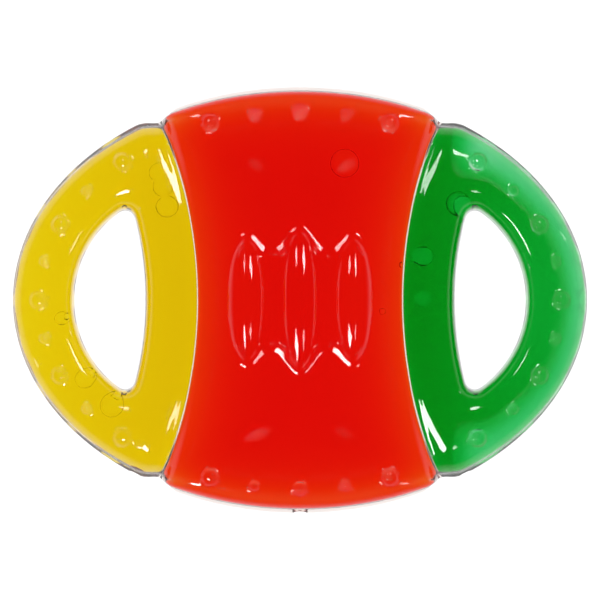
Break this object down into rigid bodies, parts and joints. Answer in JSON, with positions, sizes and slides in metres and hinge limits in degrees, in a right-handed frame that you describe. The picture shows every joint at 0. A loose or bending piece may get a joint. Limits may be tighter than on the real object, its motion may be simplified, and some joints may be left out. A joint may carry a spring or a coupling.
{
  "type": "teething ring",
  "caption": "Oval water-filled teether: clear soft shell welded from halves, holding a yellow loop, a red middle and a green loop of coloured water, with bite bumps and a raised wavy pad.",
  "frame": {"origin": "centre of the oval on the flat patch of its back, on which it lies", "axes": "+X along the oval from the yellow loop to the green loop, +Y across it away from the fill plugs, +Z through it towards the front with the raised pad"},
  "size_m": [0.116, 0.0863, 0.0203],
  "materials": {
    "clear_plastic": "gloss",
    "plug_plastic": "satin",
    "yellow_water": "gloss",
    "red_water": "gloss",
    "green_water": "gloss"
  },
  "bodies": {
    "root": {"front_shell": "clear_plastic", "back_shell": "clear_plastic", "yellow_water": "yellow_water", "red_water": "red_water", "green_water": "green_water", "yellow_fill_plug": "plug_plastic", "red_fill_plug": "plug_plastic", "green_fill_plug": "plug_plastic"}
  },
  "joints": []
}
